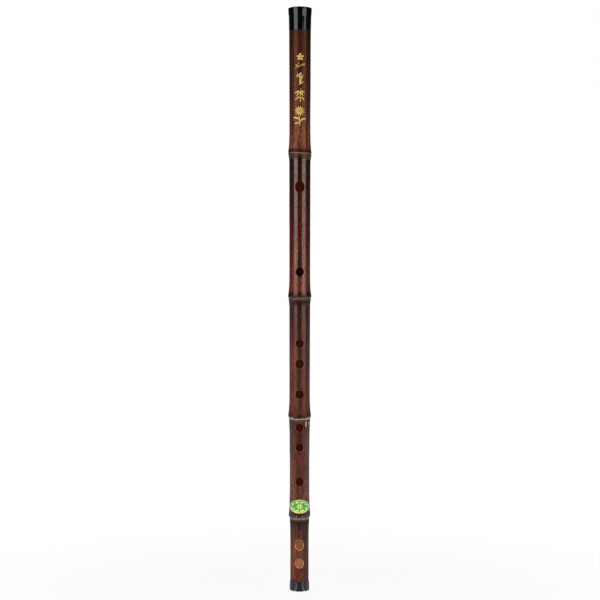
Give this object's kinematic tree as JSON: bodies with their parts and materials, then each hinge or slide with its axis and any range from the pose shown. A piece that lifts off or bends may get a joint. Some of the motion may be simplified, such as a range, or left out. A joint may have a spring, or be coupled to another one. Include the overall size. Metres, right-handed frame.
{
  "type": "dizi",
  "caption": "Transverse bamboo flute with a lacquered node-ringed culm, black flared end fittings, oval finger holes, a pull-off head cap and a sliding cork stopper inside the bore.",
  "frame": {"origin": "centre of the tail end's flat face, which the flute stands on", "axes": "+Z along the bore from the tail to the head; -Y is the playing side with the blow hole, membrane hole and finger holes; +X is to the right as the playing side is looked at with the head up"},
  "size_m": [0.026, 0.026, 0.64],
  "materials": {
    "lacquered_bamboo": "dark red-brown gloss lacquer over smoked bamboo",
    "black_horn": "polished black",
    "cork": "bare cork",
    "green_foil": "printed metallic foil sticker"
  },
  "bodies": {
    "flute": {"bamboo_tube": "lacquered_bamboo", "tail_ring": "black_horn", "label": "green_foil"},
    "cap": {"head_cap": "black_horn"},
    "cork": {"stopper": "cork"}
  },
  "joints": [
    {"name": "cap_slide", "type": "slide", "parent": "flute", "child": "cap", "axis": [0, 0, 1], "range_m": [0, 0.03]},
    {"name": "stopper_slide", "type": "slide", "parent": "flute", "child": "cork", "axis": [0, 0, 1], "range_m": [-0.006, 0.012]}
  ]
}
